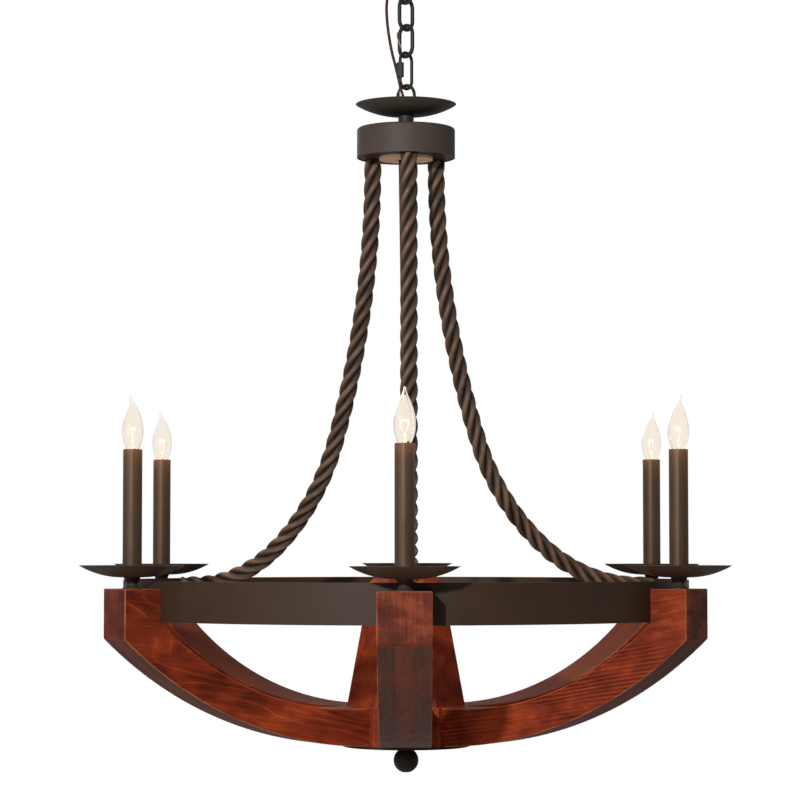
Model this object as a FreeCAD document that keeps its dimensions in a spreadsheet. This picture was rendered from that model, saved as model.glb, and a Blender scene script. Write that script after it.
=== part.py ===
"""Six-light candle chandelier: curved laminated arms, an iron ring, twisted iron rods and a chain.

The frame is in millimetres with +Z up. The origin is the middle of the ceiling canopy's rim, so the whole
fixture lies below zero, and heights are worked out as drops below the ceiling. One arm points along -Y.
"""
import FreeCAD, Part
import Sketcher
import math
import os

V = FreeCAD.Vector
doc = FreeCAD.newDocument("chandelier")
sheet = doc.addObject("Spreadsheet::Sheet", "Sizes")

# Every driving dimension: the cell's alias, its value and what it measures. A "radius" of wire is half its
# thickness, and a "drop" is a distance below the ceiling.
DRIVING_SIZES = (
    ("sheet_wall", 1.2, "sheet metal of the canopy and the dishes"),
    ("canopy_radius", 63.5, "outside of the canopy's rim"),
    ("canopy_depth", 28.0, "height of the canopy"),
    ("canopy_flat", 17.0, "radius of the flat under the canopy"),
    ("bar_length", 108.0, "mounting bar"),
    ("bar_width", 20.0, "mounting bar"),
    ("bar_thickness", 2.0, "mounting bar"),
    ("slot_spacing", 88.9, "between the middles of the bar's two screw slots"),
    ("slot_length", 12.0, "end to end"),
    ("slot_width", 4.4, "for the screws of a ceiling box"),
    ("pipe_radius", 5.0, "outside of every threaded pipe"),
    ("wireway_radius", 3.4, "bore of every threaded pipe"),
    ("thread_clearance", 0.05, "radial, between a pipe and its hole"),
    ("ring_nut_radius", 13.0, "nut that holds the canopy up"),
    ("ring_nut_height", 5.0, "nut that holds the canopy up"),
    ("loop_radius", 18.5, "to the middle of a loop's wire"),
    ("loop_wire_radius", 2.5, "wire of both loops"),
    ("loop_collar_radius", 8.0, "boss that a loop stands on"),
    ("canopy_loop_neck", 12.0, "from the canopy down to the loop's wire"),
    ("fixture_loop_neck", 6.2, "from the top dish up to the loop's wire"),
    ("link_wire_radius", 3.05, "wire of the chain"),
    ("link_inside_length", 42.0, "opening of a chain link"),
    ("link_inside_width", 22.0, "opening of a chain link"),
    ("quick_wire_radius", 2.5, "wire of the quick link"),
    ("quick_inside_length", 51.0, "opening of the quick link"),
    ("quick_inside_width", 20.0, "opening of the quick link"),
    ("quick_gate", 10.0, "gap in the quick link that its nut closes"),
    ("quick_nut_length", 22.4, "sleeve nut of the quick link"),
    ("quick_nut_radius", 5.7, "to the corners of the sleeve nut"),
    ("contact_gap", 0.15, "left between two links that hang in each other"),
    ("top_dish_radius", 77.6, "dish above the hub"),
    ("dish_radius", 77.0, "drip dish under a candle"),
    ("dish_depth", 17.4, "every dish"),
    ("dish_seat", 15.0, "radius of the flat in the middle of a dish"),
    ("neck_height", 20.2, "collar between the top dish and the hub"),
    ("neck_radius", 12.0, "upper part of the collar"),
    ("neck_step", 1.0, "by which the lower part of the collar is smaller"),
    ("hub_radius", 75.7, "hub drum"),
    ("hub_height", 45.9, "hub drum"),
    ("hub_wall", 2.0, "hub drum"),
    ("hub_rounding", 4.0, "upper edge of the hub drum"),
    ("hub_plate_thickness", 4.0, "plate that carries the rods"),
    ("hub_plate_recess", 1.0, "of that plate inside the drum's lower edge"),
    ("hub_plate_clearance", 0.2, "radial, between that plate and the drum"),
    ("hub_plate_hole", 34.0, "radius of the opening in that plate"),
    ("hub_cover_radius", 41.5, "round cover under the hub"),
    ("hub_cover_thickness", 4.0, "round cover under the hub"),
    ("lead_hole_offset", 9.0, "of the lower lead's hole from the middle of the cover"),
    ("hex_nut_radius", 8.5, "to the corners of a nut on a threaded pipe or stud"),
    ("hex_nut_height", 5.0, "nut on a threaded pipe or stud"),
    ("rod_circle", 57.0, "radius of the circle of rods at the hub"),
    ("rod_foot_turn", 6.0, "degrees that the rods' feet are turned back round the hub"),
    ("rod_lean_turn", 7.3, "degrees that the left and right rods lean aside from straight outward"),
    ("back_rod_lean_turn", 0.5, "degrees that the back rod leans aside from straight outward"),
    ("rod_strand_reach", 13.6, "from the middle of a rod to the crown of a strand"),
    ("rod_strand_valley", 10.9, "from the middle of a rod to the groove between strands"),
    ("rod_lay", 114.0, "length in which the strands go round once"),
    ("rod_groove_start", 45.0, "degrees from a rod's outward side to a groove at its foot"),
    ("rod_upright", 18.9, "straight top of a rod"),
    ("rod_upper_bend", 1325.0, "radius of a rod's upper bend"),
    ("rod_middle_bend", 360.0, "radius of a rod's middle bend"),
    ("rod_lower_bend", 250.0, "radius of a rod's lower bend"),
    ("rod_upper_turn", 18.8, "degrees that the upper bend turns"),
    ("rod_middle_turn", 28.5, "degrees that the middle bend turns"),
    ("stud_radius", 5.0, "threaded upper end of a rod"),
    ("stud_length", 14.0, "threaded upper end of a rod"),
    ("ring_radius", 431.0, "outside of the iron ring"),
    ("ring_thickness", 5.0, "iron ring"),
    ("ring_height", 58.8, "iron ring"),
    ("ring_over_rod", 10.5, "height of the ring's top above the rods' ends"),
    ("ring_seat_clearance", 0.15, "radial, between the ring and an arm's seat"),
    ("screw_radius", 2.6, "wood screw through the ring into an arm"),
    ("screw_length", 38.0, "wood screw under its head"),
    ("screw_head_radius", 5.5, "wood screw"),
    ("screw_head_height", 3.0, "wood screw"),
    ("screw_pitch", 44.0, "between the two screws of an arm"),
    ("screw_rise", 18.0, "of the screws above the ring's lower edge"),
    ("arm_width", 76.2, "three laminations, glued side by side"),
    ("arm_top_below_ring", 11.0, "from the ring's top down to the arms' tops"),
    ("arm_face_height", 72.5, "outer end face of an arm"),
    ("arm_foot_height", 57.7, "inner end of an arm"),
    ("arm_sweep_drop", 166.0, "from the outer face's lower edge down to the arm's lowest line"),
    ("arm_lower_curve", 597.6, "radius of an arm's underside"),
    ("arm_upper_curve", 447.1, "radius of an arm's upper side"),
    ("arm_easing", 1.2, "chamfer along an arm's edges"),
    ("arm_lip", 2.4, "height of an arm's step under the ring"),
    ("core_radius", 97.7, "to the corners of the six-sided core"),
    ("post_foot_radius", 90.0, "to the corners of the post's foot"),
    ("post_top_radius", 55.7, "to the corners of the post below its chamfer"),
    ("post_height", 187.5, "post up to its chamfer"),
    ("post_chamfer", 9.0, "chamfer round the post's top"),
    ("plate_radius", 96.0, "base plate"),
    ("plate_thickness", 4.0, "base plate"),
    ("washer_radius", 15.0, "on the post's top"),
    ("washer_thickness", 2.0, "on the post's top"),
    ("pipe_stand", 10.0, "post pipe above its washer"),
    ("ball_radius", 19.0, "finial"),
    ("ball_neck_radius", 7.5, "finial"),
    ("ball_neck_height", 4.0, "finial"),
    ("ball_flat", 5.0, "radius of the flat under the ball"),
    ("candle_outset", 26.2, "from the ring's outside out to the circle of candles"),
    ("candle_from_end", 28.1, "from that circle out to the arms' outer faces"),
    ("stem_foot_radius", 13.8, "turned stem under a drip dish"),
    ("stem_foot_edge", 1.6, "upright edge of the stem's foot"),
    ("stem_foot_height", 5.6, "hollow flare from that edge up to the waist"),
    ("stem_flare", 7.0, "radius of that flare"),
    ("stem_waist_radius", 7.2, "turned stem"),
    ("stem_waist_height", 1.4, "turned stem"),
    ("stem_cup_foot_radius", 9.3, "lower edge of the stem's cup"),
    ("stem_cup_radius", 12.3, "upper edge of the stem's cup"),
    ("stem_cup_height", 7.8, "turned stem"),
    ("nipple_depth", 22.0, "threaded pipe down into an arm"),
    ("nipple_rise", 12.0, "threaded pipe up into a candle"),
    ("sleeve_radius", 14.0, "candle sleeve"),
    ("sleeve_wall", 1.5, "candle sleeve"),
    ("sleeve_height", 184.4, "candle sleeve"),
    ("socket_below_rim", 4.0, "from the sleeve's rim down to the socket"),
    ("socket_radius", 10.5, "lamp socket"),
    ("socket_height", 30.0, "lamp socket"),
    ("socket_leg_radius", 3.0, "leg that carries the socket"),
    ("socket_leg_taper", 6.0, "height of the leg's tapered foot on the nipple"),
    ("base_radius", 5.95, "screw base of a bulb"),
    ("base_length", 21.0, "screw base of a bulb"),
    ("base_clearance", 0.08, "radial, between a screw base and its socket"),
    ("bulb_radius", 15.9, "glass at its widest"),
    ("bulb_height", 82.8, "glass from the socket to the tip"),
    ("bulb_lean", 4.2, "sideways bend of the tip"),
    ("bulb_wall", 0.7, "glass"),
    ("cord_radius", 2.2, "lamp cord beside the chain"),
    ("lower_lead_radius", 2.6, "sheathed lead from the hub to the post"),
    ("lead_hole_radius", 4.0, "hole for the lower lead in the hub's cover"),
    ("lead_in_hub", 8.0, "lower lead above the cover"),
    ("lead_in_pipe", 8.0, "lower lead inside the post pipe"),
)

ARM_AZIMUTHS = (270, 330, 30, 90, 150, 210)
ROD_AZIMUTHS = (90, 210, 330)
ROD_STRANDS = 4
# The chain's pieces hang at 45 degrees to the axes, each a quarter turn from the one above it.
DIAGONAL, CROSS_DIAGONAL = 45, 135

# A bulb's glass: shares of its height, of its widest radius and of its lean, from the socket to the tip.
BULB_SECTIONS = (
    (0.00, 0.37, 0.00),
    (0.02, 0.48, 0.00),
    (0.05, 0.61, 0.00),
    (0.14, 0.80, 0.00),
    (0.24, 0.94, 0.00),
    (0.37, 1.00, 0.00),
    (0.51, 0.94, 0.00),
    (0.65, 0.74, 0.05),
    (0.77, 0.48, 0.18),
    (0.865, 0.235, 0.48),
    (0.94, 0.12, 0.86),
    (1.00, 0.075, 1.00),
)

# The lamp cord's route from the canopy's loop to the hub's loop, as points (x, y, drop) chosen by hand. It is
# cut in the middle of the runs that start at the points numbered in CORD_CUTS, so each stretch spans one joint
# of the chain.
CORD_ROUTE = (
    (-0.9, 0, 34), (-0.9, 0, 52), (-8, 5.5, 66), (-21, 6, 81.5), (-30.8, 0, 118), (-29, -2, 158),
    (-22.5, -1, 197), (-16.5, 0.4, 219), (-11, 0.8, 242), (-8, 0, 257.5), (-1.3, 0, 276), (-0.8, 0, 290),
)
CORD_CUTS = (3, 4, 5, 7)


class Size:
    """A length or number that also carries the expression FreeCAD works it out by."""

    def __init__(self, value, text):
        self.value = value
        self.text = text

    def combined(self, sign, other, value):
        return Size(value, f"({self.text} {sign} {other.text})")

    def __add__(self, other):
        other = sized(other)
        return self.combined("+", other, self.value + other.value)

    def __sub__(self, other):
        other = sized(other)
        return self.combined("-", other, self.value - other.value)

    def __rsub__(self, other):
        return sized(other) - self

    def __mul__(self, other):
        other = sized(other)
        return self.combined("*", other, self.value * other.value)

    def __truediv__(self, other):
        other = sized(other)
        return self.combined("/", other, self.value / other.value)

    def __neg__(self):
        return Size(-self.value, f"(-1 * {self.text})")

    __radd__ = __add__
    __rmul__ = __mul__


def sized(number):
    return number if isinstance(number, Size) else Size(float(number), repr(float(number)))


def root(size):
    return Size(math.sqrt(size.value), f"sqrt({size.text})")


def sine(degrees):
    """The sine of a Size in degrees."""
    return Size(math.sin(math.radians(degrees.value)), f"sin({degrees.text} * 1 deg)")


def cosine(degrees):
    return Size(math.cos(math.radians(degrees.value)), f"cos({degrees.text} * 1 deg)")


class Sizes:
    """The sheet's cells as attributes, each a Size."""

    def __init__(self, rows):
        for row, (alias, value, meaning) in enumerate(rows, start=1):
            sheet.set(f"A{row}", alias)
            sheet.set(f"B{row}", str(value))
            sheet.set(f"C{row}", meaning)
            sheet.setAlias(f"B{row}", alias)
            setattr(self, alias, Size(value, f"Sizes.{alias}"))


S = Sizes(DRIVING_SIZES)
doc.recompute()
nodes = {}


def keep(thing, name):
    """Give a finished sub-part its node's name."""
    thing.Label = name
    nodes[name] = thing
    return thing


def bind(thing, **sizes):
    """Bind properties of a document object to the sheet."""
    for name, size in sizes.items():
        thing.setExpression(name, sized(size).text)


def place(thing, x=0, y=0, z=0, turn=None):
    thing.Placement = FreeCAD.Placement(V(*(sized(c).value for c in (x, y, z))), turn or FreeCAD.Rotation())
    for axis, size in (("x", x), ("y", y), ("z", z)):
        if isinstance(size, Size):
            thing.setExpression(f".Placement.Base.{axis}", size.text)
    return thing


def add(kind, name, **sizes):
    thing = doc.addObject(kind, name)
    bind(thing, **sizes)
    return thing


def cylinder(name, radius, height, x=0, y=0, z=0, turn=None):
    return place(add("Part::Cylinder", name, Radius=radius, Height=height), x, y, z, turn)


def fused(name, pieces):
    whole = doc.addObject("Part::MultiFuse", name)
    whole.Shapes = pieces
    return whole


def cut(name, base, tools):
    whole = doc.addObject("Part::Cut", name)
    whole.Base = base
    whole.Tool = tools[0] if len(tools) == 1 else fused(name + "_tools", tools)
    return whole


def grouped(name, pieces):
    """Separate solids that share one node."""
    whole = doc.addObject("Part::Compound", name)
    whole.Links = pieces
    return whole


def about_z(azimuth):
    return FreeCAD.Rotation(V(0, 0, 1), azimuth)


def upright(azimuth, spin=0):
    """Turn the XY plane upright, to hold the Z axis and the given azimuth."""
    return about_z(azimuth) * FreeCAD.Rotation(V(0, 1, 0), spin) * FreeCAD.Rotation(V(1, 0, 0), 90)


def arc_centre(start, end, radius, turn):
    """Centre of the arc from start to end that turns left (1) or right (-1)."""
    dx, dy = end[0] - start[0], end[1] - start[1]
    chord = math.hypot(dx, dy)
    rise = math.sqrt(radius**2 - chord**2 / 4) * turn
    return (start[0] + end[0]) / 2 - dy / chord * rise, (start[1] + end[1]) / 2 + dx / chord * rise


def outline(body, plane, corners):
    """A closed sketch through corners (x, y) or (x, y, radius, turn), whose edge to the next corner is an arc."""
    sketch = body.newObject("Sketcher::SketchObject", body.Name + "_outline")
    base = next(f for f in body.Origin.OriginFeatures if f.Role == plane)
    sketch.AttachmentSupport = [(base, "")]
    sketch.MapMode = "FlatFace"
    starts, ends = [], []
    points = [(sized(c[0]).value, sized(c[1]).value) for c in corners]
    for i, corner in enumerate(corners):
        here, there = points[i], points[(i + 1) % len(points)]
        if len(corner) == 2:
            line = sketch.addGeometry(Part.LineSegment(V(*here, 0), V(*there, 0)))
            starts.append((line, 1))
            ends.append((line, 2))
            continue
        radius, turn = corner[2:]
        middle = arc_centre(here, there, radius.value, turn)
        first, last = (here, there) if turn > 0 else (there, here)
        angles = [math.atan2(p[1] - middle[1], p[0] - middle[0]) for p in (first, last)]
        circle = Part.Circle(V(*middle, 0), V(0, 0, 1), radius.value)
        arc = sketch.addGeometry(Part.ArcOfCircle(circle, *angles))
        starts.append((arc, 1 if turn > 0 else 2))
        ends.append((arc, 2 if turn > 0 else 1))
        bend = sketch.addConstraint(Sketcher.Constraint("Radius", arc, radius.value))
        sketch.setExpression(f"Constraints[{bend}]", radius.text)
    for i, start in enumerate(starts):
        sketch.addConstraint(Sketcher.Constraint("Coincident", *ends[i - 1], *start))
        for size, kind, axis in ((corners[i][0], "DistanceX", -2), (corners[i][1], "DistanceY", -1)):
            if not isinstance(size, Size) and size == 0:
                sketch.addConstraint(Sketcher.Constraint("PointOnObject", *start, axis))
                continue
            size = sized(size)
            held = sketch.addConstraint(Sketcher.Constraint(kind, -1, 1, *start, size.value))
            sketch.setExpression(f"Constraints[{held}]", size.text)
    return sketch


def turned(name, corners, z=0):
    """A body turned about its own upright axis from an outline of (radius, height) corners."""
    body = doc.addObject("PartDesign::Body", name)
    sketch = outline(body, "XZ_Plane", corners)
    turning = body.newObject("PartDesign::Revolution", name + "_turning")
    turning.Profile = sketch
    turning.ReferenceAxis = (sketch, ["V_Axis"])
    turning.Angle = 360
    return place(body, z=z)


def at_every_candle(pattern, name):
    """Copies of something made on the axis, moved to the six candles."""
    copies = []
    for azimuth in ARM_AZIMUTHS:
        x, y = (candle_circle * f(sized(azimuth)) for f in (cosine, sine))
        copies.append(place(grouped(f"{name}_{azimuth}", [pattern]), x, y, turn=about_z(azimuth)))
    return copies


def shell_outline(radius, depth, seat, wall, bore):
    """Sheet metal spun to a flat seat and a rounded side that leaves it tangent. It stands on the seat."""
    across = radius - seat
    curve = (across * across + depth * depth) / (2 * depth)
    above_rim = curve - depth
    inside = seat + root((curve - wall) * (curve - wall) - above_rim * above_rim)
    return [
        (bore, 0),
        (seat, 0, curve, 1),
        (radius, depth),
        (inside, depth, curve - wall, -1),
        (seat, wall),
        (bore, wall),
    ]


# ---------------------------------------------------------------- heights, as drops below the ceiling
loop_drop = S.canopy_depth + S.canopy_loop_neck + S.loop_wire_radius + S.loop_radius
link_pitch = S.link_inside_length - S.contact_gap
link_span = S.link_inside_length + 2 * S.link_wire_radius
first_link_top = loop_drop + S.loop_radius - S.loop_wire_radius - S.link_wire_radius - S.contact_gap
quick_span = S.quick_inside_length + 2 * S.quick_wire_radius
quick_top = first_link_top + link_pitch * 2 + link_span - S.link_wire_radius - S.quick_wire_radius - S.contact_gap
quick_middle = quick_top + quick_span / 2
fixture_loop_drop = (quick_top + quick_span - S.quick_wire_radius - S.loop_wire_radius - S.contact_gap
                     + S.loop_radius)
top_dish_drop = fixture_loop_drop + S.loop_radius + S.loop_wire_radius + S.fixture_loop_neck + S.sheet_wall
hub_top_drop = top_dish_drop + S.neck_height
hub_bottom_drop = hub_top_drop + S.hub_height
rod_top_drop = hub_bottom_drop - S.hub_plate_recess
rod_steepest = S.rod_upper_turn + S.rod_middle_turn
rod_end_drop = (rod_top_drop + S.rod_upright + S.rod_upper_bend * sine(S.rod_upper_turn)
                + S.rod_middle_bend * (sine(rod_steepest) - sine(S.rod_upper_turn))
                + S.rod_lower_bend * (1 - sine(rod_steepest)))
rod_bends_reach = (S.rod_upper_bend * (1 - cosine(S.rod_upper_turn))
                   + S.rod_middle_bend * (cosine(S.rod_upper_turn) - cosine(rod_steepest))
                   + S.rod_lower_bend * cosine(rod_steepest))
ring_top_drop = rod_end_drop - S.ring_over_rod
ring_bottom_drop = ring_top_drop + S.ring_height
ring_inside = S.ring_radius - S.ring_thickness
candle_circle = S.ring_radius + S.candle_outset
arm_reach = candle_circle + S.candle_from_end
rod_wall_reach = root(ring_inside * ring_inside - S.rod_strand_reach * S.rod_strand_reach)
arm_top_drop = ring_top_drop + S.arm_top_below_ring
core_bottom_drop = arm_top_drop + S.arm_face_height + S.arm_sweep_drop
core_top_drop = core_bottom_drop - S.arm_foot_height
core_flat = S.core_radius * cosine(sized(30))
post_top_drop = core_top_drop - S.post_height - S.post_chamfer
plate_bottom_drop = core_bottom_drop + S.plate_thickness
pipe_top_drop = post_top_drop - S.washer_thickness - S.pipe_stand
stem_height = S.stem_foot_edge + S.stem_foot_height + S.stem_waist_height + S.stem_cup_height
dish_drop = arm_top_drop - stem_height
sleeve_foot_drop = dish_drop - S.sheet_wall
sleeve_top_drop = sleeve_foot_drop - S.sleeve_height
socket_top_drop = sleeve_top_drop + S.socket_below_rim
pipe_hole = S.pipe_radius + S.thread_clearance


# ---------------------------------------------------------------- ceiling fitting
def make_canopy():
    shell = shell_outline(S.canopy_radius, S.canopy_depth, S.canopy_flat, S.sheet_wall, pipe_hole)
    keep(turned("canopy", shell, z=-S.canopy_depth), "canopy")


def slot(name, middle):
    """A rounded slot along X through the mounting bar."""
    half = (S.slot_length - S.slot_width) / 2
    low = -2 * S.bar_thickness
    deep = 3 * S.bar_thickness
    ends = [cylinder(f"{name}_end_{i}", S.slot_width / 2, deep, middle + side * half, 0, low)
            for i, side in enumerate((-1, 1))]
    straight = add("Part::Box", name + "_side", Length=2 * half, Width=S.slot_width, Height=deep)
    place(straight, middle - half, -S.slot_width / 2, low)
    return fused(name, ends + [straight])


def make_mounting_bar():
    bar = add("Part::Box", "bar_blank", Length=S.bar_length, Width=S.bar_width, Height=S.bar_thickness)
    place(bar, -S.bar_length / 2, -S.bar_width / 2, -S.bar_thickness)
    bore = cylinder("bar_bore", pipe_hole, 3 * S.bar_thickness, z=-2 * S.bar_thickness)
    slots = [slot(f"bar_slot_{i}", side * S.slot_spacing / 2) for i, side in enumerate((-1, 1))]
    keep(cut("mounting_bar", bar, [bore] + slots), "mounting_bar")


def wire_loop(name, azimuth, drop):
    """The round part of a loop, upright in its azimuth's plane."""
    ring = add("Part::Torus", name + "_wire", Radius1=S.loop_radius, Radius2=S.loop_wire_radius)
    return place(ring, z=-drop, turn=upright(azimuth))


def make_canopy_loop():
    """The loop with its collar and the hollow threaded stub that holds the canopy to the mounting bar."""
    low = loop_drop - S.loop_radius + S.loop_wire_radius
    collar = cylinder("canopy_loop_collar", S.loop_collar_radius, low - S.canopy_depth - S.ring_nut_height, z=-low)
    stub = cylinder("canopy_loop_stub", S.pipe_radius, low - S.loop_wire_radius, z=S.loop_wire_radius - low)
    bore = cylinder("canopy_loop_bore", S.wireway_radius, 2 * low, z=-1.5 * low)
    solid = fused("canopy_loop_solid", [wire_loop("canopy_loop", DIAGONAL, loop_drop), collar, stub])
    keep(cut("canopy_loop", solid, [bore]), "canopy_loop")
    nut = cylinder("ring_nut_blank", S.ring_nut_radius, S.ring_nut_height, z=-S.canopy_depth - S.ring_nut_height)
    hole = cylinder("ring_nut_hole", pipe_hole, 2 * S.canopy_depth, z=-2 * S.canopy_depth)
    keep(cut("canopy_ring_nut", nut, [hole]), "canopy_ring_nut")


# ---------------------------------------------------------------- chain
def bent_wire(name, wire, inside_length, inside_width, azimuth, middle_drop):
    """A closed link: two half rings joined by two straight legs."""
    bend = inside_width / 2 + wire
    leg = inside_length - inside_width
    pieces = []
    for i, spin in enumerate((0, 180)):
        half = add("Part::Torus", f"{name}_bend_{i}", Radius1=bend, Radius2=wire)
        half.Angle3 = 180
        side = 1 if spin == 0 else -1
        pieces.append(place(half, z=side * leg / 2 - middle_drop, turn=upright(azimuth, spin)))
    for i, side in enumerate((-1, 1)):
        x = side * bend * cosine(sized(azimuth))
        y = side * bend * sine(sized(azimuth))
        pieces.append(cylinder(f"{name}_leg_{i}", wire, leg, x, y, -leg / 2 - middle_drop))
    return fused(name, pieces)


def make_chain():
    middle = first_link_top + link_span / 2
    for number, azimuth in enumerate((CROSS_DIAGONAL, DIAGONAL, CROSS_DIAGONAL), start=1):
        drop = middle + (number - 1) * link_pitch
        name = f"chain_link_{number}"
        keep(bent_wire(name, S.link_wire_radius, S.link_inside_length, S.link_inside_width, azimuth, drop), name)


def make_quick_link():
    """An oval link with a gate in its near left leg, closed by a sleeve nut that turns on its thread."""
    closed = bent_wire("quick_link_closed", S.quick_wire_radius, S.quick_inside_length, S.quick_inside_width,
                       DIAGONAL, quick_middle)
    bend = S.quick_inside_width / 2 + S.quick_wire_radius
    x, y = -bend * cosine(sized(DIAGONAL)), -bend * sine(sized(DIAGONAL))
    gate = cylinder("quick_gate", 2 * S.quick_wire_radius, S.quick_gate, x, y, -quick_middle - S.quick_gate / 2)
    keep(cut("quick_link", closed, [gate]), "quick_link")
    sleeve = add("Part::Prism", "quick_nut_blank", Circumradius=S.quick_nut_radius, Height=S.quick_nut_length)
    place(sleeve, x, y, -quick_middle - S.quick_nut_length / 2)
    thread = cylinder("quick_nut_thread", S.quick_wire_radius + S.thread_clearance, 2 * S.quick_nut_length,
                      x, y, -quick_middle - S.quick_nut_length)
    keep(cut("quick_link_nut", sleeve, [thread]), "quick_link_nut")


# ---------------------------------------------------------------- hub
def make_fixture_loop():
    high = fixture_loop_drop + S.loop_radius - S.loop_wire_radius
    low = top_dish_drop - S.sheet_wall
    collar = cylinder("fixture_loop_collar", S.loop_collar_radius, low - high, z=-low)
    solid = fused("fixture_loop_solid", [wire_loop("fixture_loop", CROSS_DIAGONAL, fixture_loop_drop), collar])
    bore = cylinder("fixture_loop_bore", S.wireway_radius, 4 * (low - high), z=-low - (low - high))
    thread = cylinder("fixture_loop_thread", pipe_hole, S.fixture_loop_neck, z=-low)
    keep(cut("fixture_loop", solid, [bore, thread]), "fixture_loop")


def dish_outline(radius):
    return shell_outline(radius, S.dish_depth, S.dish_seat, S.sheet_wall, pipe_hole)


def rod_foot(azimuth):
    """Where the rod that belongs to an azimuth stands on the hub's plate."""
    return [S.rod_circle * f(sized(azimuth) - S.rod_foot_turn) for f in (cosine, sine)]


def make_hub():
    keep(turned("top_dish", dish_outline(S.top_dish_radius), z=-top_dish_drop), "top_dish")
    lower = S.neck_radius - S.neck_step
    keep(turned("hub_neck", [
        (pipe_hole, 0),
        (lower, 0),
        (lower, S.neck_height / 2),
        (S.neck_radius, S.neck_height / 2),
        (S.neck_radius, S.neck_height),
        (pipe_hole, S.neck_height),
    ], z=-hub_top_drop), "hub_neck")
    keep(turned("hub_drum", [
        (pipe_hole, S.hub_height - S.hub_wall),
        (S.hub_radius - S.hub_wall, S.hub_height - S.hub_wall),
        (S.hub_radius - S.hub_wall, 0),
        (S.hub_radius, 0),
        (S.hub_radius, S.hub_height - S.hub_rounding, S.hub_rounding, 1),
        (S.hub_radius - S.hub_rounding, S.hub_height),
        (pipe_hole, S.hub_height),
    ], z=-hub_bottom_drop), "hub_drum")
    fitted = S.hub_radius - S.hub_wall - S.hub_plate_clearance
    disc = cylinder("hub_plate_disc", fitted, S.hub_plate_thickness, z=-rod_top_drop)
    deep = 3 * S.hub_plate_thickness
    low = -rod_top_drop - S.hub_plate_thickness
    openings = [cylinder("hub_plate_opening", S.hub_plate_hole, deep, z=low)]
    for azimuth in ROD_AZIMUTHS:
        x, y = rod_foot(azimuth)
        openings.append(cylinder(f"hub_plate_hole_{azimuth}", S.stud_radius + S.thread_clearance, deep, x, y, low))
    keep(cut("hub_plate", disc, openings), "hub_plate")
    low = -rod_top_drop - S.hub_cover_thickness
    cover = cylinder("hub_cover_disc", S.hub_cover_radius, S.hub_cover_thickness, z=low)
    hole = cylinder("hub_cover_hole", S.lead_hole_radius, 3 * S.hub_cover_thickness, -S.lead_hole_offset, 0,
                    low - S.hub_cover_thickness)
    keep(cut("hub_cover", cover, [hole]), "hub_cover")


def threaded_pipe(name, top_drop, bottom_drop, x=0, y=0):
    length = bottom_drop - top_drop
    rod = cylinder(name + "_rod", S.pipe_radius, length, x, y, -bottom_drop)
    bore = cylinder(name + "_bore", S.wireway_radius, 2 * length, x, y, -bottom_drop - length / 2)
    return cut(name, rod, [bore])


def hex_nut(name, bore, bottom_drop, x=0, y=0):
    body = add("Part::Prism", name + "_blank", Circumradius=S.hex_nut_radius, Height=S.hex_nut_height)
    place(body, x, y, -bottom_drop)
    hole = cylinder(name + "_hole", bore, 3 * S.hex_nut_height, x, y, -bottom_drop - S.hex_nut_height)
    return cut(name, body, [hole])


def make_hub_fixings():
    """The pipe that ties loop, dish, neck and drum together, and the nuts inside the hub."""
    nut_bottom = hub_top_drop + S.hub_wall + S.hex_nut_height
    pipe_top = top_dish_drop - S.sheet_wall - S.fixture_loop_neck
    keep(threaded_pipe("hub_pipe", pipe_top, nut_bottom + S.pipe_radius), "hub_pipe")
    nuts = [hex_nut("hub_pipe_nut", pipe_hole, nut_bottom)]
    for azimuth in ROD_AZIMUTHS:
        x, y = rod_foot(azimuth)
        nuts.append(hex_nut(f"rod_nut_{azimuth}", S.stud_radius + S.thread_clearance,
                            rod_top_drop - S.hub_plate_thickness, x, y))
    keep(grouped("hub_nuts", nuts), "hub_nuts")


# ---------------------------------------------------------------- twisted rods
def rod_lean(azimuth):
    return S.back_rod_lean_turn if azimuth == 90 else S.rod_lean_turn


def rod_end(lean_turn):
    """A rod passes the middle aside, so it meets the ring a little off square: its reach and its end's slant."""
    aside = S.rod_foot_turn + lean_turn
    passing = S.rod_circle * sine(aside)
    square_reach = root(ring_inside * ring_inside - passing * passing)
    reach = (rod_wall_reach * ring_inside - passing * passing) / square_reach - S.rod_circle * cosine(aside)
    return reach, passing / square_reach


def rod_stretches(end_reach):
    """A rod's middle line as (length, radius or None, angle turned) from the hub to the ring."""
    upper, middle = (math.radians(a.value) for a in (S.rod_upper_turn, S.rod_middle_turn))
    lower = math.pi / 2 - upper - middle
    bends = ((S.rod_upper_bend.value, upper), (S.rod_middle_bend.value, middle), (S.rod_lower_bend.value, lower))
    yield S.rod_upright.value, None, 0.0
    for radius, angle in bends:
        yield radius * angle, radius, angle
    yield (end_reach - rod_bends_reach).value, None, 0.0


def rod_point(stretches, distance):
    """Reach from its foot, drop and lean of a rod's middle line at a distance along it. It hangs plumb at lean 0."""
    reach, drop, lean = 0.0, rod_top_drop.value, 0.0
    for length, radius, _ in stretches:
        step = min(distance, length)
        if radius is None:
            reach += step * math.sin(lean)
            drop += step * math.cos(lean)
        else:
            after = lean + step / radius
            reach += radius * (math.cos(lean) - math.cos(after))
            drop += radius * (math.sin(after) - math.sin(lean))
            lean = after
        distance -= step
        if distance <= 0:
            break
    return reach, drop, lean


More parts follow.
